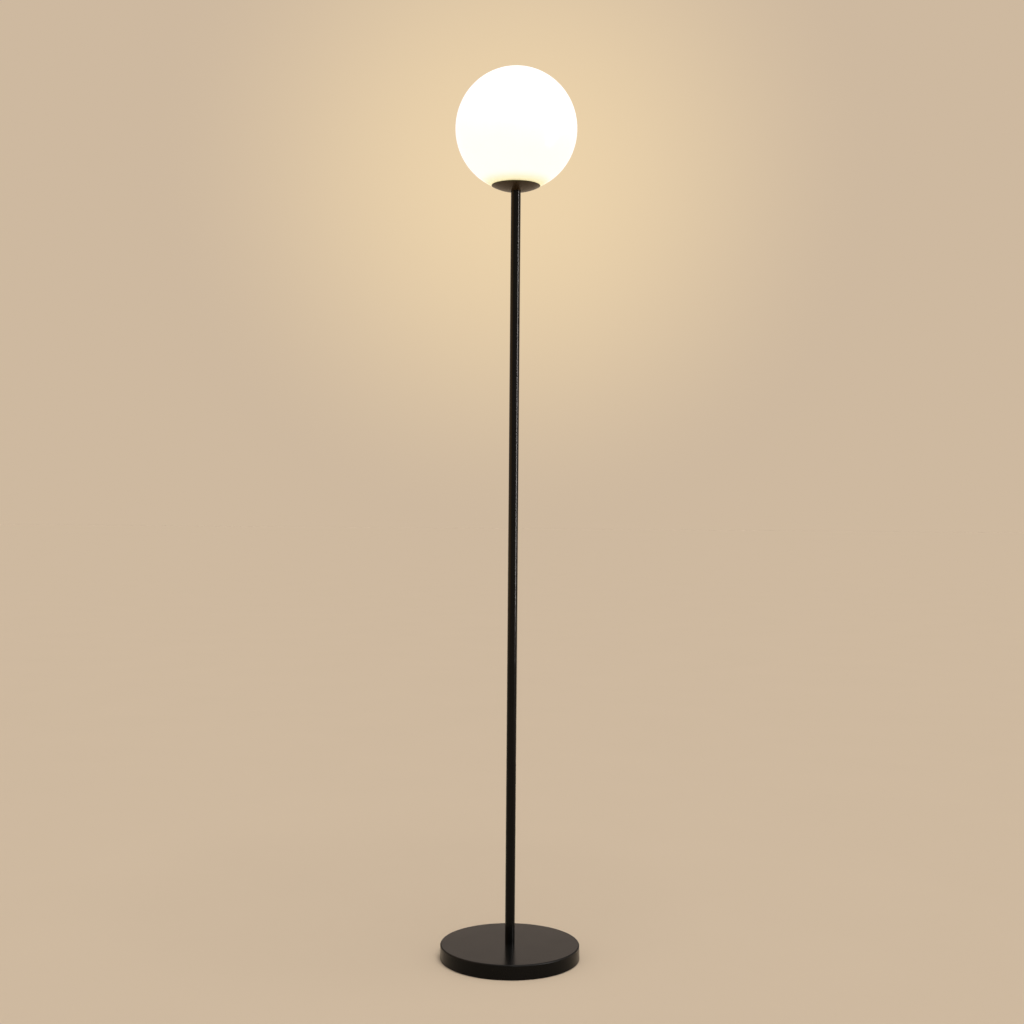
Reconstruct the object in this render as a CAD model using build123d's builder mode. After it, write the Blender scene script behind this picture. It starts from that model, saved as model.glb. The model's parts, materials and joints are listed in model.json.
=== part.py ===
from build123d import *
import os
from math import sqrt

# Globe floor lamp: a weighted disc base, a pole of three flush tubes, a shallow dish,
# and an opal glass globe over a screw-in bulb. Sizes are in millimetres. +Z is up and
# the origin is on the floor, under the middle of the base.

# ---- Fits -------------------------------------------------------------------------
thread_fit = 0.05  # screwed pieces, radially
slide_fit = 0.1  # pieces pushed into each other, radially
bolt_gap = 0.3  # a stud in its clearance hole, radially

# ---- Base -------------------------------------------------------------------------
base_height = 24.0
base_radius = 114.5  # the cover's outside at its lower rim
base_draft = 0.5  # how much smaller the cover is at its top
base_edge_radius = 2.0
cover_wall = 1.2
rim_lift = 1.0  # lower rim above the floor
pad_thickness = 2.0
pad_inset = 0.8  # pad's edge inside the cover
weight_gap = 0.4  # iron inside the cover, radially
weight_chamfer = 1.5
web_thickness = 6.0  # iron over the wiring pocket
pocket_radius = 40.0

# ---- Cord inlet in the rear wall --------------------------------------------------
inlet_height = 11.0  # the cord's axis above the floor
cord_bore_radius = 3.5
grommet_neck_radius = 5.0
grommet_flange_radius = 6.5
grommet_flange_outside = 1.6
grommet_flange_inside = 2.5
grommet_slack = 0.1  # groove beyond the wall, on each face
neck_gap = 0.25  # grommet's neck in the hole, radially
channel_gap = 1.0  # channel beyond the grommet's flange

# ---- Pole -------------------------------------------------------------------------
pole_radius = 8.0
pole_wall = 1.0
section_length = 411.6
section_names = ("pole_lower", "pole_middle", "pole_upper")
insert_length = 14.0
insert_recess = 0.2  # insert inside the tube's end
coupler_length = 26.0
thread_radius = 5.0  # M10x1 throughout
nipple_bore_radius = 3.75
nipple_engagement = 12.0  # in a tube's insert

# ---- Nuts, washers and the earth tag -------------------------------------------------
nut_height = 4.0
nut_across_flats = 14.0
washer_radius = 9.5
washer_thickness = 1.5
lock_washer_radius = 8.5
lock_washer_thickness = 0.9
lock_washer_teeth = 12
tooth_depth = 1.6
tooth_gap = 1.2
stud_tail = 1.0  # stud below its nut
tag_thickness = 0.8
tag_tail_width = 6.0
tag_barrel_start = 13.0
tag_barrel_length = 5.0
tag_barrel_radius = 2.0
crimp_bore_radius = 1.3

# ---- Terminal block in the base ----------------------------------------------------
block_front = 18.5  # its near face, behind the lamp's axis
block_width = 30.0
block_length = 17.0
block_height = 11.0
block_corner = 1.5
block_pitch = 10.0
wire_drop = 5.8  # wire bores below the web
barrel_length = 13.0
barrel_radius = 2.6
clamp_screw_radius = 1.25
clamp_screw_length = 3.2
clamp_screw_spacing = 7.0
clamp_well_radius = 1.7
fixing_screw_radius = 1.5
fixing_head_radius = 2.75
fixing_head_height = 1.8
fixing_head_recess = 0.2
fixing_screw_grip = 4.0  # in the iron
fixing_hole_spare = 0.5  # hole beyond the screw's end

# ---- Internal leads ----------------------------------------------------------------
lead_radius = 1.1
lead_spacing = 2.8  # between the two in the pole
lead_floor_gap = 1.3  # above the pad
lead_bend_radius = 3.0
lead_turn_out = 7.0  # where the leads turn up behind the stud
lead_straight = 4.0  # straight before a terminal
lead_grip = 6.0  # inside a terminal
lead_tip_gap = 0.1  # lead to clamp screw
earth_lead_reach = 24.0

# ---- Dish and glass globe ----------------------------------------------------------
globe_radius = 100.0
glass_wall = 3.0
mouth_flat = 1.5  # width of the ground ring round the mouth
cup_rim_radius = 40.0
cup_arc_radius = 86.5
cup_flat_radius = 10.0
cup_wall = 0.8
rim_gap = 0.4  # glass above the dish's inner rim
seat_lip = 2.0  # seat ring inside the mouth
seat_edge = 0.15  # seat ring's thickness at its outer edge
seat_gap = 0.1  # seat ring above the dish

# ---- Glass carrier and its clips ---------------------------------------------------
carrier_thickness = 1.0
carrier_hub_radius = 15.0
carrier_arms = 3
carrier_arm_width = 12.0
carrier_arm_angle = 30.0
carrier_gap = 0.4  # arm's end to the dish
clip_thickness = 0.5
clip_width = 8.0
clip_start = 20.5
clip_rise_gap = 2.6  # where the leaf turns up, inside the seat ring
clip_gap = 0.4  # leaf to the glass
clip_bow_height = 2.0  # above the seat
clip_tail_height = 7.0
clip_tail_set = 3.0
clip_bend_radius = 0.8
rivet_radius = 1.5
rivet_head_radius = 2.6
rivet_head_height = 0.6
rivet_place = 23.5

# ---- E27 lampholder ----------------------------------------------------------------
holder_radius = 19.5
holder_wall = 1.5
cap_neck_radius = 9.0
cap_neck_height = 4.0
cap_flare_height = 9.0
cap_height = 20.0
cap_floor = 8.0
cap_floor_radius = 11.0
cap_corner = 2.0
spigot_height = 6.0
spigot_wall = 1.2
insert_depth = 5.0  # insert inside the cap
insert_flange = 2.0
insert_rise = 4.0  # insert inside the barrel
terminal_size = 6.0
terminal_spread = 9.0  # terminals each side of the axis
terminal_screw_radius = 1.5
terminal_head_radius = 2.6
terminal_head_height = 1.8
nipple_in_cap = 7.5
contact_thickness = 0.5
contact_width = 6.0
contact_height = 4.0  # bulb's tip above the insert
contact_gap = 0.3  # contact to the bulb's tip
contact_bend_radius = 0.8
barrel_gap = 0.3  # screw shell inside the barrel
barrel_lip = 1.5  # barrel above the screw shell

# ---- Edison thread, drawn as rings -------------------------------------------------
thread_pitch = 3.62
thread_depth = 1.05
thread_crest_radius = 13.2  # on the bulb
thread_clearance = 0.4  # bulb in shell, radially
shell_wall = 0.35
shell_turns = 6
shell_turns_below = 2  # below the bulb's first turn
shell_rim = 0.5

# ---- Bulb --------------------------------------------------------------------------
bulb_length = 78.0
bulb_radius = 22.5
bulb_pass_gap = 12.5  # bulb in the globe's mouth, radially
bulb_turns = 4
bulb_thread_start = 5.5  # above the tip
bulb_cap_height = 27.0
sleeve_wall = 0.35
tip_radius = 4.8
tip_height = 1.6
tip_shank_radius = 1.5
cap_glass_foot = 5.2
cap_glass_cone_top = 5.2
cap_glass_height = 7.0
cap_glass_gap = 0.2
housing_wall = 1.3
housing_foot = 13.4
housing_neck_bore = 11.0
housing_waist = (14.5, 31.5)  # radius and height above the tip
housing_shoulder_drop = 7.0  # below the housing joint
housing_bend_radius = 10.0
diffuser_wall = 1.2
diffuser_drop = 4.0  # housing joint below the widest point
spreader_thickness = 1.5
spreader_drop = 1.5  # below the housing joint
led_board_radius = 16.5
led_board_thickness = 1.0
led_count = 10
led_circle = 11.0
led_size = (2.8, 3.5, 0.8)
driver_width = 17.0
driver_thickness = 1.6
driver_start = 29.0  # above the tip
driver_coil = (8.0, 5.0, 8.0)
driver_coil_drop = 10.0
driver_capacitor_radius = 3.0
driver_capacitor_height = 5.0
driver_capacitor_drop = 14.0

# ---- Heights and radii that follow -------------------------------------------------
web_z = base_height - cover_wall - web_thickness
washer_z = web_z - tag_thickness - washer_thickness
base_lock_washer_z = washer_z - lock_washer_thickness
base_nut_z = base_lock_washer_z - nut_height
stud_bottom = base_nut_z - stud_tail
wire_z = web_z - wire_drop
block_bottom = web_z - block_height
block_middle = block_front + block_length / 2
block_poles = (-block_pitch, 0.0, block_pitch)
tube_bore_radius = pole_radius - pole_wall

cup_z = base_height + len(section_names) * section_length
cup_arc_z = cup_z + sqrt(cup_arc_radius**2 - cup_flat_radius**2)
cup_rim_z = cup_arc_z - sqrt(cup_arc_radius**2 - cup_rim_radius**2)
cup_inner_arc = cup_arc_radius - cup_wall
cup_floor_z = cup_z + cup_wall
cup_rim_inner = sqrt(cup_inner_arc**2 - (cup_arc_z - cup_rim_z) ** 2)
cup_floor_radius = sqrt(cup_inner_arc**2 - (cup_arc_z - cup_floor_z) ** 2)

globe_z = cup_rim_z + rim_gap + sqrt(globe_radius**2 - cup_rim_inner**2)
mouth_radius = bulb_radius + bulb_pass_gap
seat_z = globe_z - sqrt(globe_radius**2 - (mouth_radius + mouth_flat) ** 2)
seat_inner_radius = mouth_radius - seat_lip
seat_arc = cup_inner_arc - seat_gap
seat_outer_radius = sqrt(seat_arc**2 - (cup_arc_z - seat_z + seat_edge) ** 2)

head_nut_z = cup_floor_z + lock_washer_thickness
carrier_z = head_nut_z + nut_height
holder_z = carrier_z + carrier_thickness
spigot_radius = holder_radius - holder_wall
cavity_radius = spigot_radius - spigot_wall
flange_z = holder_z + cap_height + spigot_height
insert_top_z = flange_z + insert_flange + insert_rise
terminal_z = flange_z - insert_depth - terminal_size

tip_z = insert_top_z + contact_height
bulb_mid_radius = thread_crest_radius - thread_depth / 2
bulb_thread_z = tip_z + bulb_thread_start
shell_mid_radius = bulb_mid_radius + thread_clearance
shell_thread_z = bulb_thread_z - shell_turns_below * thread_pitch
shell_top_z = shell_thread_z + shell_turns * thread_pitch + shell_rim
barrel_bore_radius = shell_mid_radius + shell_wall + thread_depth / 2 + barrel_gap
barrel_top_z = shell_top_z + barrel_lip
bulb_cap_top_z = tip_z + bulb_cap_height
diffuser_z = tip_z + bulb_length - bulb_radius
joint_z = diffuser_z - diffuser_drop
joint_radius = sqrt(bulb_radius**2 - diffuser_drop**2)
spreader_z = joint_z - spreader_drop - spreader_thickness
led_board_z = spreader_z + spreader_thickness


def cover_radius(height):
    """Outside of the drafted cover at a height above the floor."""
    return base_radius - base_draft * (height - rim_lift) / (base_height - rim_lift)


def bowl_height(radius, arc_radius):
    """Height at a radius on one of the dish's concentric spheres."""
    return cup_arc_z - sqrt(arc_radius**2 - radius**2)


def thread_arcs(mid_radius, low, turns):
    """The rounded thread as rings: each half wave's start, middle and end."""
    half_wave = thread_pitch / 2
    arcs = []
    for index in range(2 * turns):
        height = low + index * half_wave
        swing = thread_depth / 2 * (1 if index % 2 == 0 else -1)
        middle = (mid_radius + swing, height + half_wave / 2)
        arcs.append(((mid_radius, height), middle, (mid_radius, height + half_wave)))
    return arcs


def keep(piece, name):
    """Label a finished piece and write it under its own name."""
    piece.part.label = name
    export_step(piece.part, f"parts/{name}.step")


def hex_nut(low):
    """M10x1 hexagon nut on the lamp's axis."""
    with BuildPart() as nut:
        with BuildSketch(Plane.XY.offset(low)):
            RegularPolygon(nut_across_flats / 2, side_count=6, major_radius=False)
            Circle(thread_radius + thread_fit, mode=Mode.SUBTRACT)
        extrude(amount=nut_height)
    return nut


def lock_washer(low):
    """Toothed lock washer on the lamp's axis."""
    with BuildPart() as washer:
        with BuildSketch(Plane.XY.offset(low)):
            Circle(lock_washer_radius)
            Circle(thread_radius + slide_fit, mode=Mode.SUBTRACT)
            with PolarLocations(lock_washer_radius, lock_washer_teeth):
                Rectangle(2 * tooth_depth, tooth_gap, mode=Mode.SUBTRACT)
        extrude(amount=lock_washer_thickness)
    return washer


def threaded_tube(low, high):
    """Hollow M10x1 tube on the lamp's axis, from one height to another."""
    with BuildPart() as tube:
        with BuildSketch(Plane.XY.offset(low)):
            Circle(thread_radius)
            Circle(nipple_bore_radius, mode=Mode.SUBTRACT)
        extrude(amount=high - low)
    return tube


os.makedirs("parts", exist_ok=True)

# ---- Base --------------------------------------------------------------------------
with BuildPart() as base_pad:
    with BuildSketch():
        Circle(base_radius - cover_wall - pad_inset)
    extrude(amount=pad_thickness)
keep(base_pad, "base_pad")

weight_top_z = base_height - cover_wall
weight_radius = cover_radius(weight_top_z) - cover_wall - weight_gap
channel_half = grommet_flange_radius + channel_gap
with BuildPart() as base_weight:
    with BuildSketch(Plane.XY.offset(pad_thickness)):
        Circle(weight_radius)
    extrude(amount=weight_top_z - pad_thickness)
    chamfer(base_weight.edges().group_by(Axis.Z)[-1], weight_chamfer)
    with BuildSketch(Plane.XY.offset(pad_thickness)):
        Circle(pocket_radius)
    extrude(amount=web_z - pad_thickness, mode=Mode.SUBTRACT)
    with BuildSketch(Plane.XY.offset(pad_thickness)):
        with Locations((0, weight_radius / 2)):
            Rectangle(2 * channel_half, weight_radius)
        Circle(pocket_radius - channel_half, mode=Mode.SUBTRACT)
    extrude(amount=inlet_height + channel_half - pad_thickness, mode=Mode.SUBTRACT)
    with BuildSketch(Plane.XY.offset(web_z)):
        Circle(thread_radius + bolt_gap)
    extrude(amount=web_thickness, mode=Mode.SUBTRACT)
    with BuildSketch(Plane.XY.offset(web_z)):
        with Locations((block_pitch / 2, block_middle)):
            Circle(fixing_screw_radius + thread_fit)
    extrude(amount=fixing_screw_grip + fixing_hole_spare, mode=Mode.SUBTRACT)
keep(base_weight, "base_weight")

inlet_plane = Plane(origin=(0, 0, inlet_height), x_dir=(1, 0, 0), z_dir=(0, 1, 0))
with BuildPart() as base_cover:
    with BuildSketch(Plane.XZ):
        with BuildLine():
            FilletPolyline(
                (thread_radius + bolt_gap, base_height),
                (cover_radius(base_height), base_height),
                (base_radius, rim_lift),
                (base_radius - cover_wall, rim_lift),
                (cover_radius(weight_top_z) - cover_wall, weight_top_z),
                (thread_radius + bolt_gap, weight_top_z),
                radius=[0, base_edge_radius, 0, 0, base_edge_radius - cover_wall, 0],
                close=True,
            )
        make_face()
    revolve(axis=Axis.Z)
    with BuildSketch(inlet_plane):
        Circle(grommet_neck_radius + neck_gap)
    extrude(amount=base_radius + cover_wall, mode=Mode.SUBTRACT)
keep(base_cover, "base_cover")

wall_inside = sqrt(
    (cover_radius(inlet_height + grommet_flange_radius) - cover_wall) ** 2
    - grommet_flange_radius**2
)
groove_start = wall_inside - grommet_slack
groove_end = cover_radius(inlet_height - grommet_flange_radius) + grommet_slack
grommet_start = groove_start - grommet_flange_inside
grommet_end = groove_end + grommet_flange_outside
with BuildPart() as cord_grommet:
    with BuildSketch(inlet_plane.offset(grommet_start)):
        Circle(grommet_flange_radius)
    extrude(amount=grommet_flange_inside)
    with BuildSketch(inlet_plane.offset(groove_start)):
        Circle(grommet_neck_radius)
    extrude(amount=groove_end - groove_start)
    with BuildSketch(inlet_plane.offset(groove_end)):
        Circle(grommet_flange_radius)
    extrude(amount=grommet_flange_outside)
    fillet(cord_grommet.edges().group_by(Axis.Y)[-1], grommet_flange_outside / 2)
    with BuildSketch(inlet_plane.offset(grommet_start)):
        Circle(cord_bore_radius)
    extrude(amount=grommet_end - grommet_start, mode=Mode.SUBTRACT)
keep(cord_grommet, "cord_grommet")

base_stud = threaded_tube(stud_bottom, base_height + nipple_engagement)
keep(base_stud, "base_stud")

tag_barrel_z = web_z - tag_barrel_radius - slide_fit
with BuildPart() as earth_tag:
    with BuildSketch(Plane.XY.offset(web_z - tag_thickness)):
        Circle(lock_washer_radius)
        with Locations((tag_barrel_start / 2, 0)):
            Rectangle(tag_barrel_start, tag_tail_width)
        Circle(thread_radius + slide_fit, mode=Mode.SUBTRACT)
    extrude(amount=tag_thickness)
    with BuildSketch(Plane.YZ.offset(tag_barrel_start - tag_thickness)):
        with Locations((0, tag_barrel_z)):
            Circle(tag_barrel_radius)
    extrude(amount=tag_barrel_length + tag_thickness)
    with BuildSketch(Plane.YZ.offset(tag_barrel_start)):
        with Locations((0, tag_barrel_z)):
            Circle(crimp_bore_radius)
    extrude(amount=tag_barrel_length, mode=Mode.SUBTRACT)
keep(earth_tag, "earth_tag")

with BuildPart() as base_washer:
    with BuildSketch(Plane.XY.offset(washer_z)):
        Circle(washer_radius)
        Circle(thread_radius + bolt_gap, mode=Mode.SUBTRACT)
    extrude(amount=washer_thickness)
keep(base_washer, "base_washer")

base_lock_washer = lock_washer(base_lock_washer_z)
keep(base_lock_washer, "base_lock_washer")

base_nut = hex_nut(base_nut_z)
keep(base_nut, "base_nut")

# ---- Terminal block ----------------------------------------------------------------
clamp_places = [
    (x, block_middle + side * clamp_screw_spacing / 2)
    for x in block_poles
    for side in (-1, 1)
]
clamp_top_z = wire_z - lead_radius - lead_tip_gap
with BuildPart() as terminal_block:
    with BuildSketch(Plane.XY.offset(block_bottom)):
        with Locations((0, block_middle)):
            RectangleRounded(block_width, block_length, block_corner)
    extrude(amount=block_height)
    with BuildSketch(Plane.XZ.offset(-block_front)):
        with Locations(*[(x, wire_z) for x in block_poles]):
            Circle(barrel_radius + slide_fit)
    extrude(amount=-block_length, mode=Mode.SUBTRACT)
    with BuildSketch(Plane.XY.offset(block_bottom)):
        with Locations(*clamp_places):
            Circle(clamp_well_radius)
    extrude(amount=wire_z - block_bottom, mode=Mode.SUBTRACT)
    with BuildSketch(Plane.XY.offset(block_bottom)):
        with Locations((block_pitch / 2, block_middle)):
            Circle(fixing_head_radius + bolt_gap)
    extrude(amount=fixing_head_height + fixing_head_recess, mode=Mode.SUBTRACT)
    with BuildSketch(Plane.XY.offset(block_bottom)):
        with Locations((block_pitch / 2, block_middle)):
            Circle(fixing_screw_radius + slide_fit)
    extrude(amount=block_height, mode=Mode.SUBTRACT)
keep(terminal_block, "terminal_block")

barrel_start = block_middle - barrel_length / 2
with BuildPart() as terminal_barrels:
    with BuildSketch(Plane.XZ.offset(-barrel_start)):
        with Locations(*[(x, wire_z) for x in block_poles]):
            Circle(barrel_radius)
            Circle(crimp_bore_radius, mode=Mode.SUBTRACT)
    extrude(amount=-barrel_length)
    with BuildSketch(Plane.XY.offset(block_bottom)):
        with Locations(*clamp_places):
            Circle(clamp_screw_radius + thread_fit)
    extrude(amount=wire_z - block_bottom, mode=Mode.SUBTRACT)
keep(terminal_barrels, "terminal_barrels")

with BuildPart() as terminal_screws:
    with BuildSketch(Plane.XY.offset(clamp_top_z)):
        with Locations(*clamp_places):
            Circle(clamp_screw_radius)
    extrude(amount=-clamp_screw_length)
keep(terminal_screws, "terminal_screws")

with BuildPart() as block_screw:
    head_z = block_bottom + fixing_head_recess
    with BuildSketch(Plane.XY.offset(head_z)):
        with Locations((block_pitch / 2, block_middle)):
            Circle(fixing_head_radius)
    extrude(amount=fixing_head_height)
    with BuildSketch(Plane.XY.offset(head_z)):
        with Locations((block_pitch / 2, block_middle)):
            Circle(fixing_screw_radius)
    extrude(amount=web_z + fixing_screw_grip - head_z)
keep(block_screw, "block_screw")

# ---- Pole --------------------------------------------------------------------------
for index, section_name in enumerate(section_names):
    with BuildPart() as pole_section:
        with BuildSketch(Plane.XY.offset(base_height + index * section_length)):
            Circle(pole_radius)
            Circle(tube_bore_radius, mode=Mode.SUBTRACT)
        extrude(amount=section_length)
    keep(pole_section, section_name)

joint_heights = [
    base_height + index * section_length for index in range(len(section_names) + 1)
]
with BuildPart() as pole_inserts:
    for bottom in joint_heights[:-1]:
        top = bottom + section_length
        for low in (bottom + insert_recess, top - insert_recess - insert_length):
            with BuildSketch(Plane.XY.offset(low)):
                Circle(tube_bore_radius - slide_fit)
                Circle(thread_radius + thread_fit, mode=Mode.SUBTRACT)
            extrude(amount=insert_length)
keep(pole_inserts, "pole_inserts")

with BuildPart() as pole_couplers:
    for middle in joint_heights[1:-1]:
        with BuildSketch(Plane.XY.offset(middle - coupler_length / 2)):
            Circle(thread_radius)
            Circle(nipple_bore_radius, mode=Mode.SUBTRACT)
        extrude(amount=coupler_length)
keep(pole_couplers, "pole_couplers")

# ---- Dish, seat ring and globe -----------------------------------------------------
with BuildPart() as shade_cup:
    with BuildSketch(Plane.XZ):
        with BuildLine():
            outer_middle = (cup_flat_radius + cup_rim_radius) / 2
            inner_middle = (cup_floor_radius + cup_rim_inner) / 2
            ThreePointArc(
                (cup_flat_radius, cup_z),
                (outer_middle, bowl_height(outer_middle, cup_arc_radius)),
                (cup_rim_radius, cup_rim_z),
            )
            Line((cup_rim_radius, cup_rim_z), (cup_rim_inner, cup_rim_z))
            ThreePointArc(
                (cup_rim_inner, cup_rim_z),
                (inner_middle, bowl_height(inner_middle, cup_inner_arc)),
                (cup_floor_radius, cup_floor_z),
            )
            Polyline(
                (cup_floor_radius, cup_floor_z),
                (thread_radius + bolt_gap, cup_floor_z),
                (thread_radius + bolt_gap, cup_z),
                (cup_flat_radius, cup_z),
            )
        make_face()
    revolve(axis=Axis.Z)
keep(shade_cup, "shade_cup")

with BuildPart() as seat_ring:
    with BuildSketch(Plane.XZ):
        with BuildLine():
            seat_middle = (seat_inner_radius + seat_outer_radius) / 2
            seat_inner_z = bowl_height(seat_inner_radius, seat_arc)
            ThreePointArc(
                (seat_inner_radius, seat_inner_z),
                (seat_middle, bowl_height(seat_middle, seat_arc)),
                (seat_outer_radius, seat_z - seat_edge),
            )
            Polyline(
                (seat_outer_radius, seat_z - seat_edge),
                (seat_outer_radius, seat_z),
                (seat_inner_radius, seat_z),
                (seat_inner_radius, seat_inner_z),
            )
        make_face()
    revolve(axis=Axis.Z)
keep(seat_ring, "seat_ring")

glass_inner = globe_radius - glass_wall
mouth_inner_z = globe_z - sqrt(glass_inner**2 - mouth_radius**2)
with BuildPart() as globe_shade:
    with BuildSketch(Plane.XZ):
        with BuildLine():
            ThreePointArc(
                (mouth_radius + mouth_flat, seat_z),
                (globe_radius, globe_z),
                (0, globe_z + globe_radius),
            )
            Line((0, globe_z + globe_radius), (0, globe_z + glass_inner))
            ThreePointArc(
                (0, globe_z + glass_inner),
                (glass_inner, globe_z),
                (mouth_radius, mouth_inner_z),
            )
            Polyline(
                (mouth_radius, mouth_inner_z),
                (mouth_radius, seat_z),
                (mouth_radius + mouth_flat, seat_z),
            )
        make_face()
    revolve(axis=Axis.Z)
keep(globe_shade, "globe_shade")

# ---- Stack on top of the pole ------------------------------------------------------
head_nipple = threaded_tube(cup_z - nipple_engagement, holder_z + nipple_in_cap)
keep(head_nipple, "head_nipple")

head_lock_washer = lock_washer(cup_floor_z)
keep(head_lock_washer, "head_lock_washer")

head_nut = hex_nut(head_nut_z)
keep(head_nut, "head_nut")

arm_reach = sqrt(cup_inner_arc**2 - (cup_arc_z - carrier_z) ** 2) - carrier_gap
arm_length = sqrt(arm_reach**2 - (carrier_arm_width / 2) ** 2)
with BuildPart() as shade_carrier:
    with BuildSketch(Plane.XY.offset(carrier_z)):
        Circle(carrier_hub_radius)
        with PolarLocations(arm_length / 2, carrier_arms, carrier_arm_angle):
            Rectangle(arm_length, carrier_arm_width)
        Circle(thread_radius + bolt_gap, mode=Mode.SUBTRACT)
        with PolarLocations(rivet_place, carrier_arms, carrier_arm_angle):
            Circle(rivet_radius + slide_fit, mode=Mode.SUBTRACT)
    extrude(amount=carrier_thickness)
keep(shade_carrier, "shade_carrier")

leaf_half = clip_thickness / 2
clip_reach = sqrt((mouth_radius - clip_gap) ** 2 - (clip_width / 2) ** 2) - leaf_half
with BuildPart(mode=Mode.PRIVATE) as one_clip:
    with BuildSketch(Plane.XZ):
        with BuildLine():
            FilletPolyline(
                (clip_start, holder_z + leaf_half),
                (seat_inner_radius - clip_rise_gap, holder_z + leaf_half),
                (clip_reach, seat_z + clip_bow_height),
                (clip_reach - clip_tail_set, seat_z + clip_bow_height + clip_tail_height),
                radius=clip_bend_radius,
            )
        trace(line_width=clip_thickness)
    extrude(amount=clip_width / 2, both=True)
    with BuildSketch(Plane.XY.offset(holder_z)):
        with Locations((rivet_place, 0)):
            Circle(rivet_radius + slide_fit)
    extrude(amount=clip_thickness, mode=Mode.SUBTRACT)
with BuildPart() as spring_clips:
    with PolarLocations(0, carrier_arms, carrier_arm_angle):
        add(one_clip.part)
keep(spring_clips, "spring_clips")

rivet_low = carrier_z - rivet_head_height
rivet_high = holder_z + clip_thickness
with BuildPart() as clip_rivets:
    for low, radius, height in (
        (rivet_low, rivet_head_radius, rivet_head_height),
        (carrier_z, rivet_radius, rivet_high - carrier_z),
        (rivet_high, rivet_head_radius, rivet_head_height),
    ):
        with BuildSketch(Plane.XY.offset(low)):
            with PolarLocations(rivet_place, carrier_arms, carrier_arm_angle):
                Circle(radius)
        extrude(amount=height)
keep(clip_rivets, "clip_rivets")

# ---- Lampholder --------------------------------------------------------------------
flare_top = cap_neck_height + cap_flare_height
with BuildPart() as holder_cap:
    with BuildSketch(Plane.XZ):
        with BuildLine():
            FilletPolyline(
                (thread_radius + thread_fit, holder_z),
                (cap_neck_radius, holder_z),
                (cap_neck_radius, holder_z + cap_neck_height),
                (holder_radius, holder_z + flare_top),
                (holder_radius, holder_z + cap_height),
                (spigot_radius, holder_z + cap_height),
                (spigot_radius, flange_z),
                (cavity_radius, flange_z),
                (cavity_radius, holder_z + flare_top + holder_wall),
                (cap_floor_radius, holder_z + cap_floor),
                (thread_radius + thread_fit, holder_z + cap_floor),
                radius=[0, 0, cap_corner, cap_corner, 0, 0, 0, 0, 0, 0, 0],
                close=True,
            )
        make_face()
    revolve(axis=Axis.Z)
keep(holder_cap, "holder_cap")

with BuildPart() as holder_insert:
    for low, radius, height in (
        (flange_z - insert_depth, cavity_radius - slide_fit, insert_depth),
        (flange_z, spigot_radius, insert_flange),
        (flange_z + insert_flange, barrel_bore_radius - slide_fit, insert_rise),
    ):
        with BuildSketch(Plane.XY.offset(low)):
            Circle(radius)
        extrude(amount=height)
keep(holder_insert, "holder_insert")

with BuildPart() as holder_barrel:
    with BuildSketch(Plane.XZ):
        with BuildLine():
            FilletPolyline(
                (spigot_radius + thread_fit, holder_z + cap_height),
                (holder_radius, holder_z + cap_height),
                (holder_radius, barrel_top_z),
                (barrel_bore_radius, barrel_top_z),
                (barrel_bore_radius, flange_z + insert_flange),
                (spigot_radius + thread_fit, flange_z + insert_flange),
                radius=[0, 0, holder_wall, 0, 0, 0],
                close=True,
            )
        make_face()
    revolve(axis=Axis.Z)
keep(holder_barrel, "holder_barrel")

terminal_sides = ((terminal_spread, 0), (-terminal_spread, 0))
screw_tip = terminal_spread + lead_radius + contact_gap
terminal_face = terminal_spread + terminal_size / 2
terminal_middle_z = terminal_z + terminal_size / 2
with BuildPart() as holder_terminals:
    with BuildSketch(Plane.XY.offset(terminal_z)):
        with Locations(*terminal_sides):
            Rectangle(terminal_size, terminal_size)
            Circle(crimp_bore_radius, mode=Mode.SUBTRACT)
    extrude(amount=terminal_size)
    with BuildSketch(Plane.YZ.offset(terminal_spread)):
        with Locations((0, terminal_middle_z)):
            Circle(terminal_screw_radius + thread_fit)
    extrude(amount=terminal_size / 2, mode=Mode.SUBTRACT)
    with BuildSketch(Plane.YZ.offset(-terminal_spread)):
        with Locations((0, terminal_middle_z)):
            Circle(terminal_screw_radius + thread_fit)
    extrude(amount=-terminal_size / 2, mode=Mode.SUBTRACT)
keep(holder_terminals, "holder_terminals")

with BuildPart() as holder_screws:
    for side in (-1, 1):
        for start, radius, end in (
            (screw_tip, terminal_screw_radius, terminal_face),
            (terminal_face, terminal_head_radius, terminal_face + terminal_head_height),
        ):
            with BuildSketch(Plane.YZ.offset(side * start)):
                with Locations((0, terminal_middle_z)):
                    Circle(radius)
            extrude(amount=side * (end - start))
keep(holder_screws, "holder_screws")

with BuildPart() as screw_shell:
    with BuildSketch(Plane.XZ):
        with BuildLine():
            shell_outer = shell_mid_radius + shell_wall
            shell_thread_top = shell_top_z - shell_rim
            for mid_radius in (shell_mid_radius, shell_outer):
                Line((mid_radius, insert_top_z), (mid_radius, shell_thread_z))
                for start, middle, end in thread_arcs(mid_radius, shell_thread_z, shell_turns):
                    ThreePointArc(start, middle, end)
                Line((mid_radius, shell_thread_top), (mid_radius, shell_top_z))
            for height in (insert_top_z, shell_top_z):
                Line((shell_mid_radius, height), (shell_outer, height))
        make_face()
    revolve(axis=Axis.Z)
keep(screw_shell, "screw_shell")

contact_half = contact_thickness / 2
contact_low = insert_top_z + contact_half
contact_high = tip_z - contact_gap - contact_half
contact_end = bulb_mid_radius - contact_width / 2
with BuildPart() as centre_contact:
    with BuildSketch(Plane.XZ):
        with BuildLine():
            FilletPolyline(
                (-contact_end, contact_low),
                (-contact_end / 2, contact_low),
                (-tip_shank_radius, contact_high),
                (tip_radius, contact_high),
                radius=contact_bend_radius,
            )
        trace(line_width=contact_thickness)
    extrude(amount=contact_width / 2, both=True)
keep(centre_contact, "centre_contact")

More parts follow.
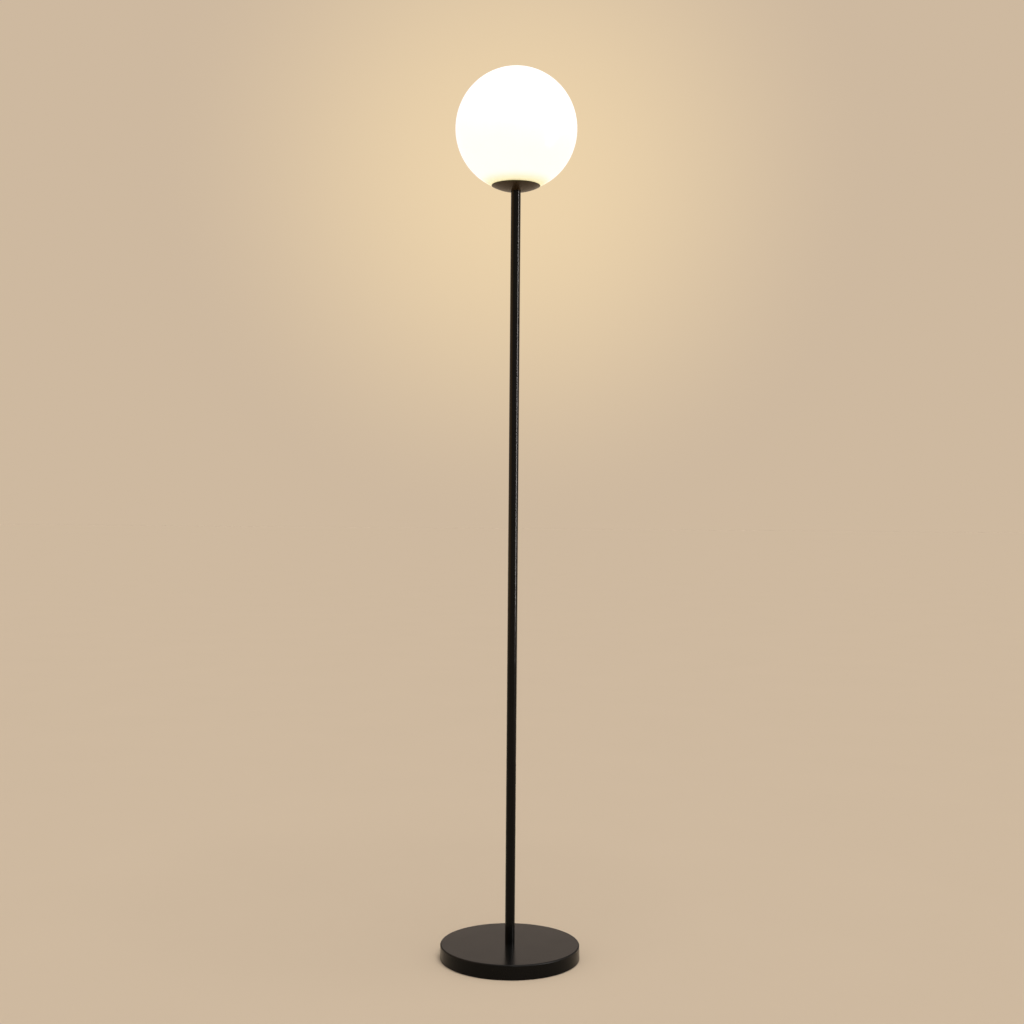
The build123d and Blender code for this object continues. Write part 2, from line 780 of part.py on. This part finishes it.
# ---- Internal leads ----------------------------------------------------------------
lead_low_z = pad_thickness + lead_floor_gap + lead_radius
block_entry = block_front + lead_grip
terminal_entry_z = terminal_z + terminal_size - lead_tip_gap
for lead_name, side, pole_x in (
    ("live_lead", 1, block_poles[1]),
    ("neutral_lead", -1, block_poles[0]),
):
    lead_x = side * lead_spacing / 2
    with BuildPart() as lead:
        with BuildLine():
            lead_route = FilletPolyline(
                (pole_x, block_entry, wire_z),
                (pole_x, block_front - lead_straight, wire_z),
                (lead_x, lead_turn_out, lead_low_z),
                (lead_x, 0, lead_low_z),
                (lead_x, 0, holder_z + cap_floor + lead_floor_gap),
                (side * terminal_spread, 0, terminal_z - lead_straight / 2),
                (side * terminal_spread, 0, terminal_entry_z),
                radius=lead_bend_radius,
            )
        with BuildSketch(Plane(origin=lead_route @ 0, z_dir=lead_route % 0)):
            Circle(lead_radius)
        sweep()
    keep(lead, lead_name)

with BuildPart() as earth_lead:
    with BuildLine():
        earth_route = FilletPolyline(
            (block_poles[2], block_entry, wire_z),
            (block_poles[2], block_front - lead_straight, wire_z),
            (earth_lead_reach, block_front - lead_straight, wire_z),
            (earth_lead_reach, 0, tag_barrel_z),
            (tag_barrel_start + lead_tip_gap, 0, tag_barrel_z),
            radius=lead_bend_radius,
        )
    with BuildSketch(Plane(origin=earth_route @ 0, z_dir=earth_route % 0)):
        Circle(lead_radius)
    sweep()
keep(earth_lead, "earth_lead")

# ---- Bulb --------------------------------------------------------------------------
sleeve_inner = bulb_mid_radius - sleeve_wall
sleeve_thread_top = bulb_thread_z + bulb_turns * thread_pitch
with BuildPart() as bulb_screw_cap:
    with BuildSketch(Plane.XZ):
        with BuildLine():
            for mid_radius in (sleeve_inner, bulb_mid_radius):
                for start, middle, end in thread_arcs(mid_radius, bulb_thread_z, bulb_turns):
                    ThreePointArc(start, middle, end)
                Line((mid_radius, sleeve_thread_top), (mid_radius, bulb_cap_top_z))
            for height in (bulb_thread_z, bulb_cap_top_z):
                Line((sleeve_inner, height), (bulb_mid_radius, height))
        make_face()
    revolve(axis=Axis.Z)
keep(bulb_screw_cap, "bulb_screw_cap")

with BuildPart() as bulb_tip_contact:
    with BuildSketch(Plane.XY.offset(tip_z)):
        Circle(tip_radius)
    extrude(amount=tip_height)
    fillet(bulb_tip_contact.edges().group_by(Axis.Z)[0], tip_height / 2)
    with BuildSketch(Plane.XY.offset(tip_z + tip_height)):
        Circle(tip_shank_radius)
    extrude(amount=cap_glass_height - tip_height)
keep(bulb_tip_contact, "bulb_tip_contact")

cap_glass_rim = sleeve_inner - cap_glass_gap
with BuildPart() as bulb_cap_insulator:
    with BuildSketch(Plane.XZ):
        with BuildLine():
            Polyline(
                (tip_shank_radius + slide_fit, tip_z + tip_height),
                (cap_glass_foot, tip_z + tip_height),
                (cap_glass_rim, tip_z + cap_glass_cone_top),
                (cap_glass_rim, tip_z + cap_glass_height),
                (tip_shank_radius + slide_fit, tip_z + cap_glass_height),
                close=True,
            )
        make_face()
    revolve(axis=Axis.Z)
keep(bulb_cap_insulator, "bulb_cap_insulator")

waist_radius, waist_height = housing_waist
neck_radius = sleeve_inner - slide_fit
housing_outline = (
    (housing_foot, bulb_cap_top_z),
    (waist_radius, tip_z + waist_height),
    (joint_radius, joint_z - housing_shoulder_drop),
    (joint_radius, joint_z),
)
with BuildPart() as bulb_housing:
    with BuildSketch(Plane.XZ):
        with BuildLine():
            inner_outline = [(x - housing_wall, z) for x, z in housing_outline]
            FilletPolyline(*housing_outline, radius=housing_bend_radius)
            FilletPolyline(*inner_outline, radius=housing_bend_radius)
            Line(housing_outline[-1], inner_outline[-1])
            Polyline(
                housing_outline[0],
                (neck_radius, bulb_cap_top_z),
                (neck_radius, sleeve_thread_top),
                (housing_neck_bore, sleeve_thread_top),
                (housing_neck_bore, bulb_cap_top_z),
                inner_outline[0],
            )
        make_face()
    revolve(axis=Axis.Z)
keep(bulb_housing, "bulb_housing")

diffuser_inner = bulb_radius - diffuser_wall
with BuildPart() as bulb_diffuser:
    with BuildSketch(Plane.XZ):
        with BuildLine():
            inner_joint = sqrt(diffuser_inner**2 - diffuser_drop**2)
            ThreePointArc(
                (joint_radius, joint_z),
                (bulb_radius, diffuser_z),
                (0, diffuser_z + bulb_radius),
            )
            Line((0, diffuser_z + bulb_radius), (0, diffuser_z + diffuser_inner))
            ThreePointArc(
                (0, diffuser_z + diffuser_inner),
                (diffuser_inner, diffuser_z),
                (inner_joint, joint_z),
            )
            Line((inner_joint, joint_z), (joint_radius, joint_z))
        make_face()
    revolve(axis=Axis.Z)
keep(bulb_diffuser, "bulb_diffuser")

with BuildPart() as bulb_heat_spreader:
    with BuildSketch(Plane.XY.offset(spreader_z)):
        Circle(joint_radius - housing_wall - slide_fit)
    extrude(amount=spreader_thickness)
keep(bulb_heat_spreader, "bulb_heat_spreader")

with BuildPart() as bulb_led_board:
    with BuildSketch(Plane.XY.offset(led_board_z)):
        Circle(led_board_radius)
    extrude(amount=led_board_thickness)
keep(bulb_led_board, "bulb_led_board")

led_length, led_width, led_height = led_size
with BuildPart() as bulb_leds:
    with BuildSketch(Plane.XY.offset(led_board_z + led_board_thickness)):
        with PolarLocations(led_circle, led_count):
            Rectangle(led_length, led_width)
    extrude(amount=led_height)
keep(bulb_leds, "bulb_leds")

coil_width, coil_depth, coil_height = driver_coil
driver_bottom = tip_z + driver_start
with BuildPart() as bulb_driver_board:
    with BuildSketch(Plane.XY.offset(driver_bottom)):
        Rectangle(driver_width, driver_thickness)
    extrude(amount=spreader_z - driver_bottom)
    with BuildSketch(Plane.XY.offset(spreader_z - driver_coil_drop)):
        with Locations((0, (driver_thickness + coil_depth) / 2)):
            Rectangle(coil_width, coil_depth)
    extrude(amount=coil_height)
    with BuildSketch(Plane.XZ.offset(driver_thickness / 2)):
        with Locations((0, spreader_z - driver_capacitor_drop)):
            Circle(driver_capacitor_radius)
    extrude(amount=driver_capacitor_height)
keep(bulb_driver_board, "bulb_driver_board")
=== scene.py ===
"""Globe floor lamp: looks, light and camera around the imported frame. Metres, +Z up."""
import json
import math

import bpy
from mathutils import Matrix, Vector

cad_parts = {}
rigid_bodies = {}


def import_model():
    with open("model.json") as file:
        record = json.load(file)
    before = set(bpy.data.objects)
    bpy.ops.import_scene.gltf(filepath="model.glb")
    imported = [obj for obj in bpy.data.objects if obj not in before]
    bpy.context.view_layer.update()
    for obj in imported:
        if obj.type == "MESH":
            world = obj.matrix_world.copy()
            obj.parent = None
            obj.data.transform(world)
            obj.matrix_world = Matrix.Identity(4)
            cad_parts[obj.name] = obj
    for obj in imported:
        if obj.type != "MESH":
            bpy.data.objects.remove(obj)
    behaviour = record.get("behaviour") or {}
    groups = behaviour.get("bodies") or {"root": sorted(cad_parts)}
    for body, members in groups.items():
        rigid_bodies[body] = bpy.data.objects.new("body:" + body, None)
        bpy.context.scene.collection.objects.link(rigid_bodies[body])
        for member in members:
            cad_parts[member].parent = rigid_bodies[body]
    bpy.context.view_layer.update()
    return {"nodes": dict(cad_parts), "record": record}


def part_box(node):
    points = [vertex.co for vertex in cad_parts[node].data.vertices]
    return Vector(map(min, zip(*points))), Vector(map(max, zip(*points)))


for thing in list(bpy.data.objects):
    bpy.data.objects.remove(thing)
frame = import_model()
nodes = frame["nodes"]

# ---- Camera, backdrop and lamps ------------------------------------------------------
FRAME_PIXELS = 1024
FOCAL_PIXELS = 1409.0
SENSOR_MM = 36.0
CAMERA_PLACE = Vector((-0.0021, -2.3143, 0.732))
CAMERA_ROLL = math.radians(0.466)
BACKDROP = (0.617, 0.485, 0.350)
MIRRORED = (0.610, 0.500, 0.415)  # the room as the glossy surfaces reflect it
GLOW = (0.845, 0.656, 0.413)  # the wall lit by the globe
GLOW_START = 0.250  # angles from the glow's middle, in radians
GLOW_FULL = 0.010
GLOW_DROP = 0.034  # glow's middle under the globe's, in metres a metre
AMBIENT_TINT = (1.0, 0.985, 0.96)
AMBIENT = 0.40
KEY_IRRADIANCE = 1.73
KEY_DIRECTION = Vector((0.15, -0.25, 1.0)).normalized()
KEY_SPREAD = math.radians(40)
STRIP_PLACE = Vector((1.88, -0.60, 1.07))  # on the right, mirrored in the pole
STRIP_SIZE = (0.22, 1.32)
STRIP_POWER = 50.0
STRIP_TINT = (1.0, 0.94, 0.90)
SCREEN_PLACE = Vector((-1.60, -0.35, 1.07))  # on the left, warm and wide
SCREEN_SIZE = (1.90, 1.32)
SCREEN_POWER = 9.0
SCREEN_TINT = (1.0, 0.50, 0.08)
FLOOR_HALF = 60.0
FLOOR_TONES = (0.995, 1.005)  # mottle, as shares of the backdrop's colour
SPREAD = (0.3, 0.7)  # where a noise texture's values mostly lie


# ---- Node helpers --------------------------------------------------------------------
EVEN = (1, 1, 1)  # no stretch
BROAD_SHARE = 0.65  # of the broad tone in a colour, the rest is grain
WEAR_SCALE = 2.7  # uneven gloss, finer than the tone by this much


def add(tree, kind, inputs=None, **settings):
    """Adds a shader node; an input is a socket to link or a value to set."""
    node = tree.nodes.new("ShaderNode" + kind)
    for name, value in settings.items():
        setattr(node, name, value)
    for name, value in (inputs or {}).items():
        if isinstance(value, bpy.types.NodeSocket):
            tree.links.new(value, node.inputs[name])
        else:
            node.inputs[name].default_value = value
    return node


def math_node(tree, operation, a, b=0.0):
    return add(tree, "Math", {0: a, 1: b}, operation=operation).outputs[0]


def remap(tree, value, from_low, from_high, to_low, to_high, smooth=False):
    kind = "SMOOTHSTEP" if smooth else "LINEAR"
    inputs = {0: value, 1: from_low, 2: from_high, 3: to_low, 4: to_high}
    return add(tree, "MapRange", inputs, interpolation_type=kind).outputs[0]


def mix(tree, factor, first, second):
    """Colour mix; first and second are colours or sockets."""
    node = add(tree, "Mix", data_type="RGBA")
    for index, value in ((0, factor), (6, first), (7, second)):
        if isinstance(value, bpy.types.NodeSocket):
            tree.links.new(value, node.inputs[index])
        else:
            node.inputs[index].default_value = (*value, 1) if index else value
    return node.outputs[2]


def place(tree, stretch=EVEN):
    """Object coordinates, stretched."""
    source = add(tree, "TexCoord").outputs["Object"]
    if stretch == EVEN:
        return source
    return add(tree, "Mapping", {"Vector": source, "Scale": stretch}).outputs[0]


def noise(tree, scale, detail=3.0, stretch=EVEN):
    inputs = {"Vector": place(tree, stretch), "Scale": scale, "Detail": detail}
    return add(tree, "TexNoise", inputs).outputs[0]


def spread(tree, scale, detail, low, high):
    """Noise that fills the span from low to high."""
    return remap(tree, noise(tree, scale, detail), *SPREAD, low, high)


def cells(tree, scale, stretch=EVEN):
    inputs = {"Vector": place(tree, stretch), "Scale": scale}
    return add(tree, "TexVoronoi", inputs).outputs[0]


def bump(tree, height, distance, below=None):
    inputs = {"Height": height, "Distance": distance, "Strength": 1.0}
    if below is not None:
        inputs["Normal"] = below
    return add(tree, "Bump", inputs).outputs[0]


def surface(name, dark, light, rough, reliefs, tone=14.0, grain=400.0, metal=0.0, **fixed):
    """A finished surface: two tones, a fine grain, uneven gloss and relief.

    reliefs are (kind, scale, distance, stretch); fixed are constants on the shader.
    Returns the material, its tree, the shader and the tone colour.
    """
    material = bpy.data.materials.new(name)
    material.use_nodes = True
    tree = material.node_tree
    shader = tree.nodes["Principled BSDF"]
    broad = math_node(tree, "MULTIPLY", spread(tree, tone, 4, 0.0, 1.0), BROAD_SHARE)
    fine = math_node(tree, "MULTIPLY", spread(tree, grain, 2, 0.0, 1.0), 1 - BROAD_SHARE)
    blend = math_node(tree, "ADD", broad, fine)
    color = mix(tree, blend, dark, light)
    tree.links.new(color, shader.inputs["Base Color"])
    wear = spread(tree, tone * WEAR_SCALE, 5, *rough)
    tree.links.new(wear, shader.inputs["Roughness"])
    normal = None
    for kind, scale, distance, stretch in reliefs:
        if kind == "noise":
            height = noise(tree, scale, 3, stretch)
        else:
            height = cells(tree, scale, stretch)
        normal = bump(tree, height, distance, normal)
    if normal is not None:
        tree.links.new(normal, shader.inputs["Normal"])
    shader.inputs["Metallic"].default_value = metal
    for key, value in fixed.items():
        shader.inputs[key.replace("_", " ")].default_value = value
    return material, tree, shader, color


finish = {}


def metal(name, dark, light, rough, reliefs, **more):
    finish[name] = surface(name, dark, light, rough, reliefs, metal=1.0, **more)[0]


def plain(name, dark, light, rough, reliefs, **more):
    finish[name] = surface(name, dark, light, rough, reliefs, **more)[0]


# ---- Materials -----------------------------------------------------------------------
# Satin powder coat with a faint orange peel and fine texture.
ORANGE_PEEL = [("noise", 260.0, 0.00005, EVEN), ("noise", 1500.0, 0.00002, EVEN)]
COAT_GRAIN = 900.0
POWDER_COAT = {
    "dark": (0.0022, 0.0022, 0.0022),
    "light": (0.0048, 0.0048, 0.0046),
    "rough": (0.17, 0.25),
    "reliefs": ORANGE_PEEL,
    "tone": 9.0,
    "grain": COAT_GRAIN,
    "Specular_IOR_Level": 0.125,
}
plain("black_steel", **POWDER_COAT)

# The base has the same coat, pulled thin and rough over its rounded edge.
EDGE_REACH = (0.0028, 0.0018)  # inside the cover's outside, where it sets in
EDGE_DROP = (0.0024, 0.0014)  # below its top
EDGE_ROUGHER = 0.30
coat, tree, shader, _ = surface("base_black_steel", **POWDER_COAT)
_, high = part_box("base_cover")
height = add(tree, "SeparateXYZ", {0: place(tree)}).outputs[2]
reach = add(tree, "VectorMath", {0: place(tree, (1, 1, 0))}, operation="LENGTH")
reach = reach.outputs["Value"]
outer = remap(tree, reach, high.x - EDGE_REACH[0], high.x - EDGE_REACH[1], 0.0, 1.0)
upper = remap(tree, height, high.z - EDGE_DROP[0], high.z - EDGE_DROP[1], 0.0, 1.0)
edge = math_node(tree, "MULTIPLY", outer, upper)
gloss = shader.inputs["Roughness"].links[0].from_socket
rough = math_node(tree, "ADD", gloss, math_node(tree, "MULTIPLY", edge, EDGE_ROUGHER))
tree.links.new(rough, shader.inputs["Roughness"])
finish["base_black_steel"] = coat

# The dish has the same coat with the globe's warm light painted in: a brown colour and a
# warm gloss tint.
plain(
    "glow_painted_black_steel",
    (0.0190, 0.0110, 0.0040),
    (0.0310, 0.0190, 0.0085),
    (0.26, 0.36),
    ORANGE_PEEL,
    tone=30.0,
    grain=COAT_GRAIN,
    Specular_IOR_Level=0.42,
    Specular_Tint=(1.0, 0.84, 0.62, 1.0),
)
plain(
    "felt",
    (0.012, 0.012, 0.013),
    (0.050, 0.049, 0.048),
    (0.85, 1.0),
    [("noise", 1500.0, 0.00022, (1, 0.2, 1)), ("noise", 2000.0, 0.00020, (0.25, 1, 1))],
    tone=25.0,
    grain=1900.0,
    Sheen_Weight=0.35,
    Sheen_Roughness=0.6,
    Specular_IOR_Level=0.2,
)
metal(
    "cast_iron",
    (0.055, 0.052, 0.050),
    (0.150, 0.145, 0.138),
    (0.55, 0.80),
    [("noise", 420.0, 0.0004, EVEN), ("cells", 900.0, 0.0001, EVEN)],
    tone=30.0,
)
plain(
    "black_rubber",
    (0.010, 0.010, 0.010),
    (0.024, 0.023, 0.022),
    (0.50, 0.72),
    [("noise", 800.0, 0.00005, EVEN)],
    tone=90.0,
)
plain(
    "silicone",
    (0.60, 0.59, 0.56),
    (0.74, 0.73, 0.69),
    (0.38, 0.55),
    [("noise", 500.0, 0.00004, EVEN)],
    tone=50.0,
    Subsurface_Weight=0.25,
    Subsurface_Scale=0.003,
)
metal(
    "zinc_steel",
    (0.46, 0.45, 0.42),
    (0.66, 0.65, 0.63),
    (0.26, 0.44),
    [("noise", 700.0, 0.00005, EVEN), ("noise", 90.0, 0.00008, EVEN)],
    tone=70.0,
)
metal(
    "spring_steel",
    (0.38, 0.38, 0.38),
    (0.58, 0.57, 0.56),
    (0.18, 0.32),
    [("noise", 500.0, 0.00003, (1, 1, 0.05))],
    tone=120.0,
)
metal(
    "brass",
    (0.56, 0.38, 0.13),
    (0.78, 0.58, 0.26),
    (0.20, 0.38),
    [("noise", 900.0, 0.00003, (1, 0.08, 1))],
    tone=110.0,
)
metal(
    "tin",
    (0.58, 0.58, 0.56),
    (0.80, 0.80, 0.78),
    (0.28, 0.46),
    [("noise", 500.0, 0.00008, EVEN)],
    tone=130.0,
)
plain(
    "nylon",
    (0.62, 0.60, 0.53),
    (0.76, 0.75, 0.68),
    (0.38, 0.52),
    [("noise", 900.0, 0.00003, EVEN)],
    tone=60.0,
    Subsurface_Weight=0.15,
    Subsurface_Scale=0.002,
)
plain(
    "black_plastic",
    (0.010, 0.010, 0.010),
    (0.021, 0.020, 0.020),
    (0.30, 0.46),
    [("noise", 1400.0, 0.00003, EVEN), ("noise", 60.0, 0.00006, EVEN)],
    tone=45.0,
)
plain(
    "steatite",
    (0.66, 0.63, 0.55),
    (0.80, 0.78, 0.71),
    (0.55, 0.75),
    [("noise", 800.0, 0.00008, EVEN)],
    tone=80.0,
    grain=1200.0,
)
for sleeve, dark, light in (
    ("brown_pvc", (0.105, 0.034, 0.014), (0.165, 0.058, 0.026)),
    ("blue_pvc", (0.014, 0.085, 0.340), (0.028, 0.130, 0.460)),
):
    plain(sleeve, dark, light, (0.25, 0.38), [("noise", 700.0, 0.00003, EVEN)], tone=40.0)

# Green and yellow sleeve: the two colours run along opposite sides of the lead.
YELLOW = (0.80, 0.62, 0.03)
STRIPE_EDGE = (0.28, 0.36)
green, tree, shader, tone = surface(
    "green_pvc",
    (0.050, 0.270, 0.035),
    (0.080, 0.360, 0.055),
    (0.25, 0.38),
    [("noise", 700.0, 0.00003, EVEN)],
    tone=40.0,
)
facing = add(tree, "SeparateXYZ", {0: add(tree, "TexCoord").outputs["Normal"]})
side = math_node(tree, "ADD", facing.outputs[0], facing.outputs[1])
stripe = remap(tree, side, *STRIPE_EDGE, 0.0, 1.0)
tree.links.new(mix(tree, stripe, tone, YELLOW), shader.inputs["Base Color"])
finish["green_pvc"] = green

metal(
    "nickel",
    (0.56, 0.53, 0.47),
    (0.76, 0.73, 0.67),
    (0.16, 0.34),
    [("noise", 600.0, 0.00004, EVEN), ("noise", 120.0, 0.00006, EVEN)],
    tone=90.0,
)
plain(
    "black_glass",
    (0.006, 0.006, 0.008),
    (0.014, 0.014, 0.017),
    (0.06, 0.16),
    [("noise", 200.0, 0.00008, EVEN)],
    tone=100.0,
)
metal(
    "aluminium",
    (0.62, 0.62, 0.62),
    (0.82, 0.82, 0.82),
    (0.25, 0.42),
    [("noise", 700.0, 0.00004, (1, 0.1, 1))],
    tone=70.0,
)
plain(
    "white_plastic",
    (0.72, 0.72, 0.69),
    (0.80, 0.80, 0.78),
    (0.24, 0.36),
    [("noise", 900.0, 0.00002, EVEN)],
    tone=40.0,
)
plain(
    "white_board",
    (0.70, 0.72, 0.70),
    (0.84, 0.85, 0.83),
    (0.35, 0.50),
    [("cells", 420.0, 0.00003, EVEN)],
    tone=200.0,
)
plain(
    "phosphor",
    (0.72, 0.50, 0.06),
    (0.86, 0.66, 0.14),
    (0.45, 0.60),
    [("noise", 2500.0, 0.00003, EVEN)],
    tone=500.0,
)
plain(
    "green_board",
    (0.012, 0.120, 0.040),
    (0.030, 0.210, 0.075),
    (0.28, 0.45),
    [("cells", 500.0, 0.00004, EVEN)],
    tone=220.0,
)


CLOUD_SCALE = 30.0
CLOUD_DEPTH = 0.02  # of the step between the two tints


def glowing(name, dark, light, rough, reliefs, node, low_tint, tint, warm_share, power):
    """A lit opal surface: warmer light near its lower end, evening out above."""
    material, tree, shader, _ = surface(name, dark, light, rough, reliefs, tone=18.0)
    low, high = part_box(node)
    warm_top = low.z + warm_share * (high.z - low.z)
    height = add(tree, "SeparateXYZ", {0: place(tree)}).outputs[2]
    level = remap(tree, height, low.z, warm_top, 0.0, 1.0, smooth=True)
    clouds = spread(tree, CLOUD_SCALE, 3, -CLOUD_DEPTH, CLOUD_DEPTH)
    level = math_node(tree, "ADD", level, clouds)
    tree.links.new(mix(tree, level, low_tint, tint), shader.inputs["Emission Color"])
    shader.inputs["Emission Strength"].default_value = power
    finish[name] = material


glowing(
    "opal_glass",
    (0.80, 0.79, 0.76),
    (0.86, 0.85, 0.83),
    (0.10, 0.20),
    [("noise", 25.0, 0.0002, EVEN)],
    node="globe_shade",
    low_tint=(0.84, 0.77, 0.38),
    tint=(0.95, 0.96, 0.99),
    warm_share=0.07,
    power=0.67,
)
glowing(
    "opal_plastic",
    (0.78, 0.77, 0.72),
    (0.86, 0.85, 0.80),
    (0.35, 0.45),
    [("noise", 1200.0, 0.00002, EVEN)],
    node="bulb_diffuser",
    low_tint=(1.0, 0.88, 0.66),
    tint=(1.0, 0.95, 0.82),
    warm_share=0.30,
    power=0.80,
)

# ---- Dress the nodes -----------------------------------------------------------------
finish_of = {s["node"]: s["material_slot"] for s in frame["record"]["subparts"]}
# the dish takes the coat with the globe's warm light painted in
finish_of |= {"shade_cup": "glow_painted_black_steel", "base_cover": "base_black_steel"}
for name, node in nodes.items():
    for slot in node.material_slots:
        slot.material = finish[finish_of[name]]

# ---- Floor, world and light ----------------------------------------------------------
# The floor comes out in the backdrop's colour where nothing shades it.
key_light = KEY_IRRADIANCE * KEY_DIRECTION.z / math.pi
floor_mesh = bpy.data.meshes.new("floor")
signs = ((-1, -1), (1, -1), (1, 1), (-1, 1))
corners = [(x * FLOOR_HALF, y * FLOOR_HALF, 0) for x, y in signs]
floor_mesh.from_pydata(corners, [], [(0, 1, 2, 3)])
floor = bpy.data.objects.new("floor", floor_mesh)
bpy.context.scene.collection.objects.link(floor)
paint = bpy.data.materials.new("floor_paint")
paint.use_nodes = True
tree = paint.node_tree
tree.nodes.remove(tree.nodes["Principled BSDF"])
albedo = tuple(c / (AMBIENT * t + key_light) for c, t in zip(BACKDROP, AMBIENT_TINT))
mottle = spread(tree, 3.0, 3, 0.0, 1.0)
tones = (tuple(share * c for c in albedo) for share in FLOOR_TONES)
coat = add(tree, "BsdfDiffuse", {"Color": mix(tree, mottle, *tones)})
tree.links.new(coat.outputs[0], tree.nodes["Material Output"].inputs["Surface"])
floor_mesh.materials.append(paint)

world = bpy.data.worlds.new("studio")
bpy.context.scene.world = world
world.use_nodes = True
tree = world.node_tree
tree.nodes.clear()
low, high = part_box("globe_shade")
sight = (low + high) / 2 - CAMERA_PLACE
sight.z -= GLOW_DROP * sight.length
way = add(tree, "TexCoord").outputs["Generated"]
way = add(tree, "VectorMath", {0: way}, operation="NORMALIZE").outputs[0]
ends = {0: way, 1: sight.normalized()}
apart = add(tree, "VectorMath", ends, operation="DISTANCE").outputs["Value"]
halo = remap(tree, apart, GLOW_FULL, GLOW_START, 1.0, 0.0, smooth=True)


def background(color, strength=1.0):
    return add(tree, "Background", {"Color": color, "Strength": strength}).outputs[0]


def either(factor, first, second):
    return add(tree, "MixShader", {0: factor, 1: first, 2: second}).outputs[0]


# Straight rays see the glowing wall, glossy rays an even room; the rest is soft light.
path = add(tree, "LightPath").outputs
straight = math_node(tree, "MAXIMUM", path["Is Camera Ray"], path["Is Transmission Ray"])
seen = background(mix(tree, halo, BACKDROP, GLOW))
soft = background((*AMBIENT_TINT, 1.0), AMBIENT)
around = either(path["Is Glossy Ray"], soft, background((*MIRRORED, 1.0)))
output = add(tree, "OutputWorld")
tree.links.new(either(straight, around, seen), output.inputs["Surface"])


def lamp(name, kind, location, target, **settings):
    data = bpy.data.lights.new(name, kind)
    for key, value in settings.items():
        setattr(data, key, value)
    obj = bpy.data.objects.new(name, data)
    obj.location = location
    aim = Vector(target) - location
    obj.rotation_euler = aim.to_track_quat("-Z", "Y").to_euler()
    bpy.context.scene.collection.objects.link(obj)
    return obj


def mirrored_lamp(name, location, target, size, power, tint):
    """A rectangular lamp that only glossy surfaces see."""
    obj = lamp(
        name,
        "AREA",
        location,
        target,
        shape="RECTANGLE",
        size=size[0],
        size_y=size[1],
        energy=power,
        color=tint,
    )
    obj.visible_diffuse = False


lamp("key", "SUN", KEY_DIRECTION * 3, (0, 0, 0), energy=KEY_IRRADIANCE, angle=KEY_SPREAD)
axis_point = (0, 0, STRIP_PLACE.z)
mirrored_lamp("strip", STRIP_PLACE, axis_point, STRIP_SIZE, STRIP_POWER, STRIP_TINT)
abreast = (0, SCREEN_PLACE.y, SCREEN_PLACE.z)
mirrored_lamp("screen", SCREEN_PLACE, abreast, SCREEN_SIZE, SCREEN_POWER, SCREEN_TINT)

# ---- Camera --------------------------------------------------------------------------
camera_data = bpy.data.cameras.new("camera")
camera_data.sensor_width = SENSOR_MM
camera_data.lens = FOCAL_PIXELS / FRAME_PIXELS * SENSOR_MM
camera = bpy.data.objects.new("camera", camera_data)
bpy.context.scene.collection.objects.link(camera)
level_view = Matrix.Rotation(math.radians(90), 4, "X")
roll = Matrix.Rotation(CAMERA_ROLL, 4, "Z")
camera.matrix_world = Matrix.Translation(CAMERA_PLACE) @ level_view @ roll
bpy.context.scene.camera = camera
bpy.context.scene.view_settings.view_transform = "Standard"
